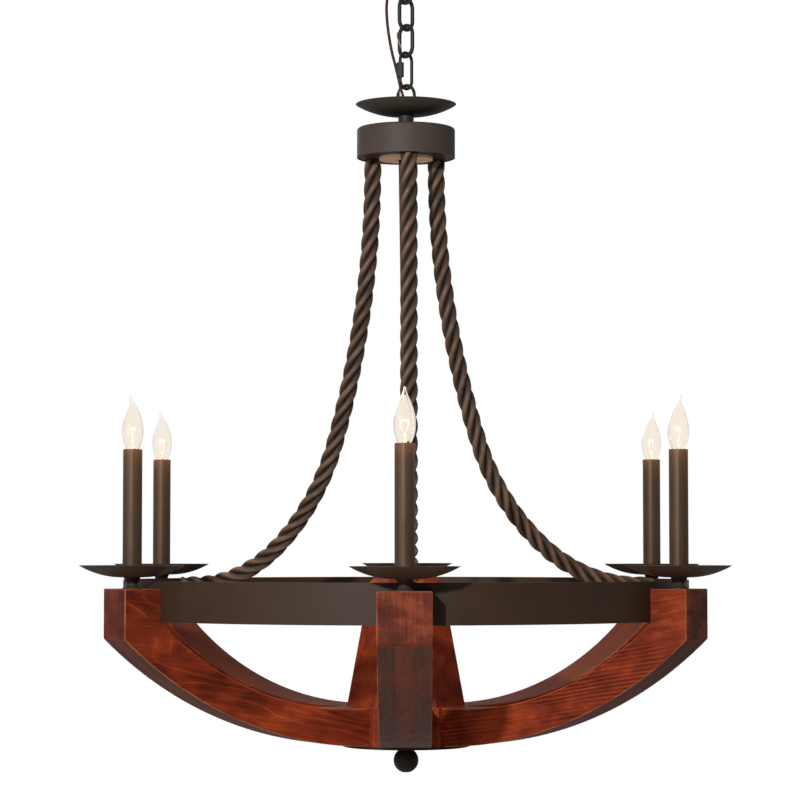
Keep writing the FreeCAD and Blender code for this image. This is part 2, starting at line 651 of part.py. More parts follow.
def rod_section(stretches, distance, slant=0.0):
    """The strands' outline across the rod at a distance along it, turned by the lay and skewed by the slant."""
    reach, drop, lean = rod_point(stretches, distance)
    along = V(math.sin(lean), 0, -math.cos(lean))
    outward = V(math.cos(lean), 0, math.sin(lean))
    twist = math.radians(S.rod_groove_start.value) + 2 * math.pi * distance / S.rod_lay.value
    corners = []
    corner_count = 3 * ROD_STRANDS
    for i in range(corner_count):
        angle = 2 * math.pi * i / corner_count
        groove = i % 3 == 0
        radius = S.rod_strand_valley.value if groove else S.rod_strand_reach.value
        direction = outward * math.cos(angle + twist) + along.cross(outward) * math.sin(angle + twist)
        corner = V(reach, 0, -drop) + direction * radius
        corners.append(corner + V(slant * corner.y, 0, 0))
    return Part.makePolygon(corners + corners[:1])


def make_rods():
    """Four strands laid round each other, ruled from section to section, with a stud at the hub end."""
    top = V(0, 0, -rod_top_drop.value)
    stud = Part.makeCylinder(S.stud_radius.value, S.stud_length.value, top)
    sections_per_turn = 8
    for number, azimuth in enumerate(ROD_AZIMUTHS, start=1):
        name = f"twisted_rod_{number}"
        end_reach, slant = rod_end(rod_lean(azimuth))
        stretches = list(rod_stretches(end_reach))
        length = sum(stretch[0] for stretch in stretches)
        count = max(sections_per_turn, round(length / S.rod_lay.value * sections_per_turn))
        sections = [rod_section(stretches, length * i / count) for i in range(count)]
        sections.append(rod_section(stretches, length, slant.value))
        node = doc.addObject("Part::Feature", name)
        node.Shape = Part.makeLoft(sections, True, True).fuse(stud)
        foot = V(*(size.value for size in rod_foot(azimuth)), 0)
        node.Placement = FreeCAD.Placement(foot, about_z(azimuth + rod_lean(azimuth).value))
        keep(node, name)


# ---------------------------------------------------------------- ring and arms
def screw_rods(name, radius, length, start):
    """Two cylinders along +X, where the screws of the arm on +X go through the ring."""
    rods = []
    for i, side in enumerate((-1, 1)):
        level = S.screw_rise - ring_bottom_drop
        lying = FreeCAD.Rotation(V(0, 1, 0), 90)
        rods.append(cylinder(f"{name}_{i}", radius, length, start, side * S.screw_pitch / 2, level, lying))
    return rods


def at_every_arm(pattern, name):
    """Copies of something made for +X, turned to the six arms."""
    copies = []
    for azimuth in ARM_AZIMUTHS:
        copies.append(place(grouped(f"{name}_{azimuth}", pattern), turn=about_z(azimuth)))
    return copies


def make_ring():
    outside = cylinder("ring_outside", S.ring_radius, S.ring_height, z=-ring_bottom_drop)
    inside = cylinder("ring_inside", ring_inside, 3 * S.ring_height, z=-ring_bottom_drop - S.ring_height)
    bored = screw_rods("ring_hole", S.screw_radius + S.thread_clearance, 6 * S.ring_thickness,
                       ring_inside - 3 * S.ring_thickness)
    keep(cut("ring", outside, [inside] + at_every_arm(bored, "ring_holes")), "ring")
    far_side = S.screw_pitch / 2 + S.screw_head_radius
    seat = root(ring_inside * ring_inside - far_side * far_side)
    heads = screw_rods("screw_head", S.screw_head_radius, S.screw_head_height, seat - S.screw_head_height)
    shanks = screw_rods("screw_shank", S.screw_radius, S.screw_length, seat)
    screws = [fused(f"screw_{i}", pair) for i, pair in enumerate(zip(heads, shanks))]
    keep(grouped("ring_screws", at_every_arm(screws, "screws")), "ring_screws")


def arm_edges(shape):
    """The edges that are eased: along both sides, and round the outer end face."""
    names = []
    for number, edge in enumerate(shape.Edges, start=1):
        first, last = (vertex.Point for vertex in edge.Vertexes)
        upright_end = abs(first.x - last.x) < 0.001
        outer_end = min(first.x, last.x) > arm_reach.value - 0.001
        along_side = abs(first.y - last.y) < 0.001
        if outer_end or (along_side and not upright_end):
            names.append(f"Edge{number}")
    return names


def arm_blank():
    """An arm along +X, sawn to its side outline, with its edges eased."""
    knee = -S.arm_face_height
    foot = knee - S.arm_sweep_drop
    step = arm_top_drop - ring_bottom_drop - S.arm_lip
    body = doc.addObject("PartDesign::Body", "arm_blank")
    sketch = outline(body, "XZ_Plane", [
        (core_flat, foot, S.arm_lower_curve, 1),
        (arm_reach, knee),
        (arm_reach, 0),
        (ring_inside, 0),
        (ring_inside, step, S.arm_upper_curve, -1),
        (core_flat, foot + S.arm_foot_height),
    ])
    sawn = body.newObject("PartDesign::Pad", "arm_sawn")
    sawn.Profile = sketch
    sawn.Midplane = True
    bind(sawn, Length=S.arm_width)
    doc.recompute()
    eased = body.newObject("PartDesign::Chamfer", "arm_eased")
    eased.Base = (sawn, arm_edges(sawn.Shape))
    bind(eased, Size=S.arm_easing)
    return place(body, z=-arm_top_drop)


def make_arms():
    far = root(ring_inside * ring_inside - S.screw_pitch * S.screw_pitch / 4)
    seat = cylinder("arm_ring_seat", S.ring_radius + S.ring_seat_clearance, 2 * S.ring_height, z=-ring_bottom_drop)
    nipple = cylinder("arm_nipple_bore", pipe_hole, 2 * S.nipple_depth, candle_circle, 0,
                      -arm_top_drop - S.nipple_depth)
    bored = screw_rods("arm_hole", S.screw_radius + S.thread_clearance, S.screw_length, far)
    arm = cut("arm_pattern", arm_blank(), [seat, nipple] + bored)
    for number, copy in enumerate(at_every_arm([arm], "arm"), start=1):
        keep(copy, f"arm_{number}")


# ---------------------------------------------------------------- middle
def make_core_and_post():
    core = add("Part::Prism", "core_blank", Circumradius=S.core_radius, Height=S.arm_foot_height)
    place(core, z=-core_bottom_drop)
    bore = cylinder("core_bore", pipe_hole, 3 * S.arm_foot_height, z=-core_bottom_drop - S.arm_foot_height)
    keep(cut("core", core, [bore]), "core")
    rises = (sized(0), S.post_height, S.post_height + S.post_chamfer)
    radii = (S.post_foot_radius, S.post_top_radius, S.post_top_radius - S.post_chamfer)
    sections = []
    for i, (rise, radius) in enumerate(zip(rises, radii)):
        hexagon = add("Part::RegularPolygon", f"post_section_{i}", Circumradius=radius)
        sections.append(place(hexagon, z=rise - core_top_drop))
    post = doc.addObject("Part::Loft", "post_blank")
    post.Sections = sections
    post.Solid = True
    post.Ruled = True
    hole = cylinder("post_bore", pipe_hole, 2 * S.post_height, z=-core_top_drop - S.post_height / 4)
    keep(cut("post", post, [hole]), "post")


def make_foot():
    disc = cylinder("base_plate_disc", S.plate_radius, S.plate_thickness, z=-plate_bottom_drop)
    hole = cylinder("base_plate_hole", pipe_hole, 3 * S.plate_thickness, z=-plate_bottom_drop - S.plate_thickness)
    keep(cut("base_plate", disc, [hole]), "base_plate")
    neck_to_centre = root(S.ball_radius * S.ball_radius - S.ball_neck_radius * S.ball_neck_radius)
    centre_to_flat = root(S.ball_radius * S.ball_radius - S.ball_flat * S.ball_flat)
    height = centre_to_flat + neck_to_centre + S.ball_neck_height
    depth = S.ball_radius
    keep(turned("ball_finial", [
        (0, 0),
        (S.ball_flat, 0, S.ball_radius, 1),
        (S.ball_radius, centre_to_flat, S.ball_radius, 1),
        (S.ball_neck_radius, centre_to_flat + neck_to_centre),
        (S.ball_neck_radius, height),
        (pipe_hole, height),
        (pipe_hole, height - depth),
        (0, height - depth),
    ], z=-plate_bottom_drop - height), "ball_finial")
    keep(threaded_pipe("post_pipe", pipe_top_drop, plate_bottom_drop + depth - S.thread_clearance), "post_pipe")
    washer_bottom = post_top_drop
    washer = cylinder("post_washer_disc", S.washer_radius, S.washer_thickness, z=-washer_bottom)
    opening = cylinder("post_washer_hole", pipe_hole, 3 * S.washer_thickness, z=-washer_bottom - S.washer_thickness)
    nut = hex_nut("post_nut", pipe_hole, washer_bottom - S.washer_thickness)
    keep(grouped("post_top_nut", [cut("post_washer", washer, [opening]), nut]), "post_top_nut")


# ---------------------------------------------------------------- candles
def make_candles():
    waist = S.stem_foot_edge + S.stem_foot_height
    cup = stem_height - S.stem_cup_height
    stem = turned("stem_pattern", [
        (pipe_hole, 0),
        (S.stem_foot_radius, 0),
        (S.stem_foot_radius, S.stem_foot_edge, S.stem_flare, -1),
        (S.stem_waist_radius, waist),
        (S.stem_waist_radius, cup),
        (S.stem_cup_foot_radius, cup),
        (S.stem_cup_radius, stem_height),
        (pipe_hole, stem_height),
    ], z=-arm_top_drop)
    dish = turned("drip_dish_pattern", dish_outline(S.dish_radius), z=-dish_drop)
    inside = S.sleeve_radius - S.sleeve_wall
    sleeve = turned("candle_sleeve_pattern", [
        (inside, 0),
        (S.sleeve_radius, 0),
        (S.sleeve_radius, S.sleeve_height),
        (inside, S.sleeve_height),
    ], z=-sleeve_foot_drop)
    keep(grouped("dish_stems", at_every_candle(stem, "stem")), "dish_stems")
    for pattern, name in ((dish, "drip_dish"), (sleeve, "candle_sleeve")):
        for number, copy in enumerate(at_every_candle(pattern, name), start=1):
            keep(copy, f"{name}_{number}")


def make_sockets():
    """Six sockets, each on a leg that stands on the threaded nipple that holds its candle to the arm."""
    nipple_top = sleeve_foot_drop - S.nipple_rise
    leg = nipple_top - socket_top_drop - S.socket_height
    cavity = S.base_radius + S.base_clearance
    floor = leg + S.socket_height - S.base_length - S.base_clearance
    socket = turned("socket_pattern", [
        (0, 0),
        (S.pipe_radius, 0),
        (S.socket_leg_radius, S.socket_leg_taper),
        (S.socket_leg_radius, leg),
        (S.socket_radius, leg),
        (S.socket_radius, leg + S.socket_height),
        (cavity, leg + S.socket_height),
        (cavity, floor),
        (0, floor),
    ], z=-nipple_top)
    nipple = threaded_pipe("nipple_pattern", nipple_top, arm_top_drop + S.nipple_depth)
    pieces = at_every_candle(socket, "socket") + at_every_candle(nipple, "nipple")
    keep(grouped("lamp_sockets", pieces), "lamp_sockets")


def bulb_loft(wall):
    """The solid inside one face of the glass: wall is 0 for its outside."""
    rings = []
    for height, radius, lean in BULB_SECTIONS:
        if radius * S.bulb_radius.value <= 2 * wall:
            break
        middle = V(lean * S.bulb_lean.value, 0, height * S.bulb_height.value)
        circle = Part.makeCircle(radius * S.bulb_radius.value - wall, middle, V(0, 0, 1))
        rings.append(Part.Wire(circle))
    return Part.makeLoft(rings, True, False)


def make_bulbs():
    """Bent-tip bulbs: a glass envelope on a screw base. Each tip leans away from the axis."""
    glass = bulb_loft(0).cut(bulb_loft(S.bulb_wall.value))
    base = Part.makeCylinder(S.base_radius.value, S.base_length.value, V(0, 0, -S.base_length.value))
    reach, level = candle_circle.value, -socket_top_drop.value
    for number, azimuth in enumerate(ARM_AZIMUTHS, start=1):
        name = f"bulb_{number}"
        node = doc.addObject("Part::Feature", name)
        node.Shape = Part.makeCompound([glass, base])
        turn = about_z(azimuth)
        node.Placement = FreeCAD.Placement(turn.multVec(V(reach, 0, level)), turn)
        keep(node, name)


# ---------------------------------------------------------------- leads
def rounded_path(points):
    """Straight runs joined by tangent arcs, and the smallest radius among the arcs."""
    share_of_run = 0.45
    edges, radii, here = [], [], points[0]
    for before, corner, after in zip(points, points[1:], points[2:]):
        arriving, leaving = corner - before, after - corner
        trim = share_of_run * min(arriving.Length, leaving.Length)
        half_turn = arriving.getAngle(leaving) / 2
        radius = trim / math.tan(half_turn)
        arriving.normalize()
        leaving.normalize()
        start, end = corner - arriving * trim, corner + leaving * trim
        inward = leaving - arriving
        inward.normalize()
        centre = corner + inward * (radius / math.cos(half_turn))
        middle = centre - inward * radius
        edges.append(Part.LineSegment(here, start).toShape())
        edges.append(Part.Arc(start, middle, end).toShape())
        radii.append(radius)
        here = end
    edges.append(Part.LineSegment(here, points[-1]).toShape())
    return Part.Wire(edges), min(radii, default=None)


def cord_stretches():
    """The cord's points from each cut to the next."""
    stretch = []
    for i, (x, y, drop) in enumerate(CORD_ROUTE):
        point = V(x, y, -drop)
        if i - 1 in CORD_CUTS:
            middle = (stretch[-1] + point) / 2
            yield stretch + [middle]
            stretch = [middle]
        stretch.append(point)
    yield stretch


def make_cord():
    radius = S.cord_radius.value
    for number, points in enumerate(cord_stretches(), start=1):
        path, smallest = rounded_path(points)
        section = Part.Wire(Part.makeCircle(radius, points[0], points[1] - points[0]))
        name = f"lamp_cord_{number}"
        node = doc.addObject("Part::Feature", name)
        node.Shape = path.makePipeShell([section], True, True)
        expected = math.pi * radius**2 * path.Length
        print(f"{name}: length {path.Length:.1f}, smallest radius {smallest:.1f},"
              f" volume {node.Shape.Volume / expected:.4f} of section times length")
        keep(node, name)


def make_lower_lead():
    """The straight lead from the hub down into the post's pipe."""
    top = V(-S.lead_hole_offset.value, 0, -(rod_top_drop.value - S.lead_in_hub.value))
    bottom = V(0, 0, -(pipe_top_drop.value + S.lead_in_pipe.value))
    node = doc.addObject("Part::Feature", "lower_lead")
    node.Shape = Part.makeCylinder(S.lower_lead_radius.value, (bottom - top).Length, top, bottom - top)
    print(f"lower_lead: length {(bottom - top).Length:.1f}")
    keep(node, "lower_lead")


def check_and_export():
    doc.recompute()
    for thing in doc.Objects:
        if "Invalid" in thing.State or "Error" in thing.State:
            raise RuntimeError(f"{thing.Label} failed: {thing.State}")
    for name, node in nodes.items():
        shape = node.Shape
        if shape.isNull() or not shape.isValid() or not shape.Solids:
            raise RuntimeError(f"{name} has no valid solid")
    os.makedirs("parts", exist_ok=True)
    for name, node in nodes.items():
        node.Shape.exportStep(f"parts/{name}.step")
    print(f"{len(nodes)} nodes, {sum(len(node.Shape.Solids) for node in nodes.values())} solids")


make_mounting_bar()
make_canopy()
make_canopy_loop()
make_chain()
make_quick_link()
make_fixture_loop()
make_hub()
make_hub_fixings()
make_rods()
make_ring()
make_arms()
make_core_and_post()
make_foot()
make_candles()
make_sockets()
make_bulbs()
make_cord()
make_lower_lead()
check_and_export()
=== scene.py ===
import bpy
import bmesh
import math
from mathutils import Matrix, Vector


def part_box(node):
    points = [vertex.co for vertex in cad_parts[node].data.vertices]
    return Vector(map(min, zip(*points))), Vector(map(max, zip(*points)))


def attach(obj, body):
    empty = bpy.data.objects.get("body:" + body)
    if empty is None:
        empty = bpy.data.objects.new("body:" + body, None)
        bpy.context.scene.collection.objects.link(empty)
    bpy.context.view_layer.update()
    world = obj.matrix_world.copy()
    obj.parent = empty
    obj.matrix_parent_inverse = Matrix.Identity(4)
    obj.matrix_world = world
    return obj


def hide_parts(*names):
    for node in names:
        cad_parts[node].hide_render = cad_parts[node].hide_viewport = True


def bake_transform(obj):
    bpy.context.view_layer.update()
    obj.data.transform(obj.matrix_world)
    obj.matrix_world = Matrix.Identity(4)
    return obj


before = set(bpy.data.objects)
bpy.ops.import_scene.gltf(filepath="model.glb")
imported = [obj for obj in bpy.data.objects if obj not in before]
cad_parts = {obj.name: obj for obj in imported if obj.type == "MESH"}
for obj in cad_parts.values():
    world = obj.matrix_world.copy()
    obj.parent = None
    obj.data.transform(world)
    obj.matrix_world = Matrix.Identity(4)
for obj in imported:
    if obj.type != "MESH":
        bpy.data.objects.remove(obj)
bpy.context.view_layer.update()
scene = bpy.context.scene
scene.view_settings.view_transform = "Standard"

# Each arm's azimuth in degrees, how much its stain is lighter than the middling tone, and its figure:
# 0 is straight bands in the grain, 1 is wandering flames.
ARMS = ((270, -0.20, 0.5), (330, 0.0, 0.05), (30, 0.03, 0.4),
        (90, 0.0, 0.5), (150, 0.02, 0.2), (210, -0.03, 1.0))
# Each rod's azimuth, and how far it leans aside from straight outward, both in degrees.
RODS = ((150, -3.4), (270, 0.1), (30, -8.5))
# From the middle to an arm's end, and to a candle.
ARM_END, CANDLE_REACH = 0.4853, 0.4572


# ---------------------------------------------------------------- camera and light
# The lens's length and the sensor's width in millimetres, and the camera's place.
LENS, SENSOR_WIDTH = 123.18, 36
CAMERA_PLACE = (0.0164, -4.2001, -0.9682)
# Radians that the camera looks up from level, and to the left of straight ahead.
CAMERA_UP, CAMERA_LEFT = 0.0548, 0.0061
# The point that the studio lights face, and each light's name, place, width, height and watts.
LIT_POINT = Vector((0, 0, -0.95))
LIGHTS = (
    ("key", (-1.145, -4.13, 0.21), 0.16, 0.16, 150),
    ("fill", (-3.0, -3.0, -0.5), 1.6, 1.8, 26),
    ("top", (0.3, 0.8, 1.6), 2.0, 2.0, 10),
    ("back", (-1.2, 3.0, 0.2), 1.6, 1.2, 10),
)
# The white surroundings: how strongly they light, and how bright each other kind of ray finds them.
WORLD_LIGHT = 0.06
WORLD_SEEN = (("Is Glossy Ray", 0.4), ("Is Transmission Ray", 1.0), ("Is Camera Ray", 1.0))


def linked(name, data, location=(0, 0, 0), rotation=(0, 0, 0)):
    """An object of this data, in the scene."""
    made = bpy.data.objects.new(name, data)
    made.location, made.rotation_euler = location, rotation
    scene.collection.objects.link(made)
    return made


def make_camera():
    lens = bpy.data.cameras.new("camera")
    lens.lens = LENS
    lens.sensor_width = SENSOR_WIDTH
    scene.camera = linked("camera", lens, CAMERA_PLACE, (math.pi / 2 + CAMERA_UP, 0, CAMERA_LEFT))


def make_lights():
    for name, place, width, height, watts in LIGHTS:
        data = bpy.data.lights.new(name, "AREA")
        data.shape, data.size, data.size_y = "RECTANGLE", width, height
        data.energy = watts
        lamp = linked(name, data, place)
        lamp.rotation_euler = (LIT_POINT - Vector(place)).to_track_quat("-Z", "Y").to_euler()
        lamp.visible_camera = False


def make_world():
    """White where it is seen, straight or through glass, dimmer in reflections and dim as a light."""
    world = bpy.data.worlds.new("studio")
    scene.world = world
    world.use_nodes = True
    tree = world.node_tree
    tree.nodes.clear()
    paths = tree.nodes.new("ShaderNodeLightPath").outputs
    strength = WORLD_LIGHT
    for ray, level in WORLD_SEEN:
        choice = tree.nodes.new("ShaderNodeMix")
        tree.links.new(paths[ray], choice.inputs[0])
        if isinstance(strength, float):
            choice.inputs[2].default_value = strength
        else:
            tree.links.new(strength, choice.inputs[2])
        choice.inputs[3].default_value = level
        strength = choice.outputs[0]
    backdrop = tree.nodes.new("ShaderNodeBackground")
    backdrop.inputs["Color"].default_value = (1, 1, 1, 1)
    tree.links.new(strength, backdrop.inputs["Strength"])
    tree.links.new(backdrop.outputs[0], tree.nodes.new("ShaderNodeOutputWorld").inputs[0])


# ---------------------------------------------------------------- the parts of a material
class Material:
    """A node-based material, with the few calls that the recipes below need."""

    def __init__(self, name, **constants):
        self.data = bpy.data.materials.new(name)
        self.data.use_nodes = True
        self.tree = self.data.node_tree
        self.shader = self.tree.nodes["Principled BSDF"]
        for socket, value in constants.items():
            self.shader.inputs[socket.replace("_", " ")].default_value = value
        coordinates = self.node("TexCoord").outputs
        self.place = coordinates["Object"]
        self.normal = coordinates["Normal"]

    def feed(self, socket, value):
        """Sets a socket to a constant, or links it to another node's output."""
        if isinstance(value, bpy.types.NodeSocket):
            self.tree.links.new(value, socket)
        elif isinstance(value, tuple) and socket.type == "RGBA":
            socket.default_value = (*value, 1)
        else:
            socket.default_value = value

    def node(self, kind, sockets=(), **settings):
        made = self.tree.nodes.new("ShaderNode" + kind)
        for name, value in settings.items():
            setattr(made, name, value)
        for socket, value in dict(sockets).items():
            self.feed(made.inputs[socket], value)
        return made

    def math(self, operation, *values, clamp=False):
        return self.node("Math", dict(enumerate(values)), operation=operation, use_clamp=clamp).outputs[0]

    def add(self, first, second, clamp=False):
        return self.math("ADD", first, second, clamp=clamp)

    def less(self, first, second):
        return self.math("SUBTRACT", first, second)

    def times(self, first, second):
        return self.math("MULTIPLY", first, second)

    def size(self, value):
        """The value without its sign."""
        return self.math("ABSOLUTE", value)

    def stretched(self, vector, x, y, z):
        return self.node("VectorMath", {0: vector, 1: (x, y, z)}, operation="MULTIPLY").outputs[0]

    def shifted(self, vector, by):
        return self.node("VectorMath", {0: vector, 1: by}, operation="ADD").outputs[0]

    def noise(self, vector, scale, detail=2.0, roughness=0.5):
        sockets = {"Vector": vector, "Scale": scale, "Detail": detail, "Roughness": roughness}
        return self.node("TexNoise", sockets).outputs[0]

    def spread(self, value, low, high, to_low=0.0, to_high=1.0):
        """The value's range from low to high, laid out from to_low to to_high and cut off there."""
        sockets = {"Value": value, "From Min": low, "From Max": high, "To Min": to_low, "To Max": to_high}
        return self.node("MapRange", sockets).outputs[0]

    def mix(self, factor, first, second, blend="MIX"):
        colours = {0: factor, 6: first, 7: second}
        return self.node("Mix", colours, data_type="RGBA", blend_type=blend).outputs[2]

    def ramp(self, value, *stops):
        """A colour from stops of (position, colour)."""
        made = self.node("ValToRGB", {0: value})
        elements = made.color_ramp.elements
        while len(elements) < len(stops):
            elements.new(0.5)
        for element, (position, colour) in zip(elements, stops):
            element.position = position
            element.color = (*colour, 1)
        return made.outputs[0]

    def parts(self, vector):
        return self.node("SeparateXYZ", {0: vector}).outputs

    def turned(self, vector, axis, degrees):
        sockets = {"Vector": vector, "Angle": math.radians(degrees)}
        return self.node("VectorRotate", sockets, rotation_type=axis + "_AXIS").outputs[0]

    def sharp_edges(self, radius):
        """Nearly 1 along sharp edges and 0 on flat faces."""
        soft = self.node("Bevel", {"Radius": radius}, samples=4).outputs[0]
        true = self.node("NewGeometry").outputs["Normal"]
        straight = self.node("VectorMath", {0: soft, 1: true}, operation="DOT_PRODUCT").outputs["Value"]
        return self.spread(straight, 0.995, 0.90)

    def finish(self, colour=None, roughness=None, height=None, strength=0.2, distance=0.0004):
        for socket, value in (("Base Color", colour), ("Roughness", roughness)):
            if value is not None:
                self.feed(self.shader.inputs[socket], value)
        if height is not None:
            bump = self.node("Bump", {"Height": height, "Strength": strength, "Distance": distance})
            self.feed(self.shader.inputs["Normal"], bump.outputs[0])
        return self.data


# ---------------------------------------------------------------- metals and cord
def metal(name, base, worn_and_highlight, metallic=0.0, roughness=0.42, edge_width=0.0006, cloud=0.12, gloss=0.07,
          sheen=(1, 1, 1)):
    """A painted or bronzed metal: clouded tone, fine speckle, and edges lightened partly as rubbed wear and
    partly as a painted highlight.

    The edges' width sets how wide the lightened edges are, cloud how much the tone varies, and gloss how
    strongly it mirrors.
    """
    made = Material(name, Metallic=metallic, Specular_IOR_Level=gloss)
    made.feed(made.shader.inputs["Specular Tint"], sheen)
    clouds = made.noise(made.place, 14, 4, 0.6)
    speckle = made.noise(made.place, 420, 3, 0.7)
    dark = tuple(channel * (1 - cloud) for channel in base)
    light = tuple(channel * (1 + cloud) for channel in base)
    tone = made.mix(made.spread(clouds, 0.3, 0.7), dark, light)
    tone = made.mix(made.spread(speckle, 0.45, 0.8, 0, 0.12), tone, worn_and_highlight)
    # the edges lightened towards the worn colour: partly rubbed wear, partly a painted highlight
    edge_rub_and_highlight = made.spread(made.noise(made.place, 60, 2), 0.35, 0.65, 0.25, 0.8)
    tone = made.mix(made.times(made.sharp_edges(edge_width), edge_rub_and_highlight), tone, worn_and_highlight)
    rough = made.spread(clouds, 0.3, 0.7, roughness - 0.07, roughness + 0.08)
    return made.finish(tone, rough, speckle, strength=0.12, distance=0.0003)


def rope_metal():
    """The twisted rods: a painted shade darkens the grooves, and the strands' crests are a warm bronze,
    partly rubbed and partly a painted highlight.
    """
    made = Material("rope_bronze", Specular_IOR_Level=0.14)
    crest = made.node("Attribute", attribute_name="crest").outputs["Fac"]
    clouds = made.noise(made.place, 30, 3, 0.6)
    forge = made.noise(made.place, 260, 3, 0.6)
    height = made.add(crest, made.spread(clouds, 0.3, 0.7, -0.18, 0.18))
    tone = made.ramp(height, (0.0, (0.030, 0.020, 0.014)), (0.45, (0.050, 0.034, 0.025)),
                     (0.8, (0.082, 0.052, 0.036)), (1.0, (0.160, 0.094, 0.060)))
    rough = made.spread(height, 0, 1, 0.55, 0.38)
    return made.finish(tone, rough, forge, strength=0.25, distance=0.0005)


def cord_sheath():
    """The cords' brown sheath, finely ribbed."""
    made = Material("cord_brown", Specular_IOR_Level=0.08)
    ribs = made.noise(made.stretched(made.place, 1, 1, 0.15), 900, 2)
    clouds = made.spread(made.noise(made.place, 40, 2), 0.35, 0.65)
    tone = made.mix(clouds, (0.040, 0.017, 0.015), (0.058, 0.026, 0.022))
    rough = made.spread(ribs, 0.3, 0.7, 0.32, 0.5)
    return made.finish(tone, rough, ribs, strength=0.15, distance=0.0002)


# ---------------------------------------------------------------- wood
# An arm is three boards of this thickness, glued side by side, so its sides are this far from its middle.
BOARD = 0.0254
ARM_SIDE = 1.5 * BOARD
PORE_COLOUR = (0.030, 0.008, 0.005)
JOINT_COLOUR = (0.03, 0.009, 0.006)
# The eased edges' lighter colour: partly stain rubbed through, partly a painted highlight.
RUBBED_AND_HIGHLIGHT_COLOUR = (0.42, 0.125, 0.055)
# The stain along the grain and on end grain, from the darkest tone to the lightest.
STAIN = ((0.0, (0.030, 0.006, 0.004)), (0.25, (0.095, 0.014, 0.006)), (0.5, (0.19, 0.027, 0.009)),
         (0.75, (0.31, 0.052, 0.015)), (1.0, (0.45, 0.105, 0.030)))
END_STAIN = ((0.0, (0.050, 0.013, 0.008)), (0.5, (0.112, 0.023, 0.012)), (1.0, (0.27, 0.060, 0.025)))
# The faces of an arm that look down and up, each on the middle board and on the outer boards. The downward
# faces are darker, a painted shade.
UNDER_SHADED = ((0.112, 0.036, 0.021), (0.074, 0.036, 0.025))
OVER = ((0.19, 0.056, 0.034), (0.165, 0.056, 0.037))


def year_rings(made, along, grainwise, chance, pith_depth, figure):
    """Late and early wood, in shells round a pith line that runs beside the board, a little askew to it."""
    length, breadth, depth = made.parts(along)
    _, aside, deeper = made.parts(chance)
    askew = made.add(made.times(length, 0.16), made.spread(aside, 0, 1, -0.030, 0.030))
    beside = made.add(breadth, askew)
    below = made.add(made.add(depth, pith_depth), made.spread(deeper, 0, 1, -0.05, 0.05))
    away = made.math("SQRT", made.add(made.times(beside, beside), made.times(below, below)))
    warp = made.noise(made.stretched(grainwise, 5, 16, 16), 1.0, 1.5, 0.45)
    count = made.add(made.math("DIVIDE", away, 0.0056 * (1 + figure)), made.times(warp, 2.0 + 3.5 * figure))
    there_and_back = made.size(made.less(made.times(made.math("FRACT", count), 2.0), 1.0))
    middling = made.less(1.0, there_and_back)
    late = made.math("POWER", middling, 2.2 + 2.0 * figure)
    early = made.math("POWER", made.less(1.0, middling), 4.0 + 8.0 * figure)
    return late, early


def arm_faces(made, colour, local, normal, board, blotch, lift):
    """An arm's colour with its end grain, curved faces and joints, and where its edges are eased."""
    x, y, _ = made.parts(local)
    outward, sideways, upward = made.parts(normal)
    flat = made.size(upward)
    across = made.size(sideways)
    # the end grain, with upright fibres
    end = made.times(made.spread(outward, 0.8, 0.9), made.spread(flat, 0.4, 0.3))
    fibres = made.noise(made.stretched(local, 420, 420, 14), 1.0, 3, 0.6)
    patches = made.spread(blotch, 0.34, 0.66, -0.3, 0.55)
    end_tone = made.add(made.spread(fibres, 0.3, 0.7, 0.2, 0.62), patches, clamp=True)
    colour = made.mix(end, colour, made.ramp(made.add(end_tone, lift), *END_STAIN))
    # the curved faces took the stain browner, with the downward ones painted darker as shade, and the outer
    # boards darker than the middle one
    not_side = made.spread(across, 0.62, 0.5)
    curved = made.times(not_side, made.spread(outward, 0.9, 0.8))
    outer = made.size(made.less(board, 1.0))
    brown = made.mix(made.spread(upward, -0.1, 0.1), made.mix(outer, *UNDER_SHADED), made.mix(outer, *OVER))
    lines = made.spread(made.noise(made.stretched(local, 10, 300, 10), 1.0, 3, 0.6), 0.3, 0.7, 0.75, 1.2)
    grey = made.node("CombineXYZ", {0: lines, 1: lines, 2: lines}).outputs[0]
    brown = made.mix(1.0, brown, grey, "MULTIPLY")
    colour = made.mix(made.times(curved, 0.8), colour, brown)
    # the thin dark joints between the boards
    from_joint = made.size(made.less(made.size(y), BOARD / 2))
    joint = made.times(made.spread(from_joint, 0.0, 0.0005, 0.6, 0.0), not_side)
    colour = made.mix(joint, colour, JOINT_COLOUR)
    # the eased edges: slanting faces along the arm, and the ends' upper and lower corners
    slanted = made.times(made.spread(across, 0.60, 0.66), made.spread(across, 0.78, 0.74))
    corner = made.times(made.math("GREATER_THAN", x, ARM_END - 0.0014), made.spread(flat, 0.4, 0.6))
    return colour, made.math("MAXIMUM", slanted, corner)


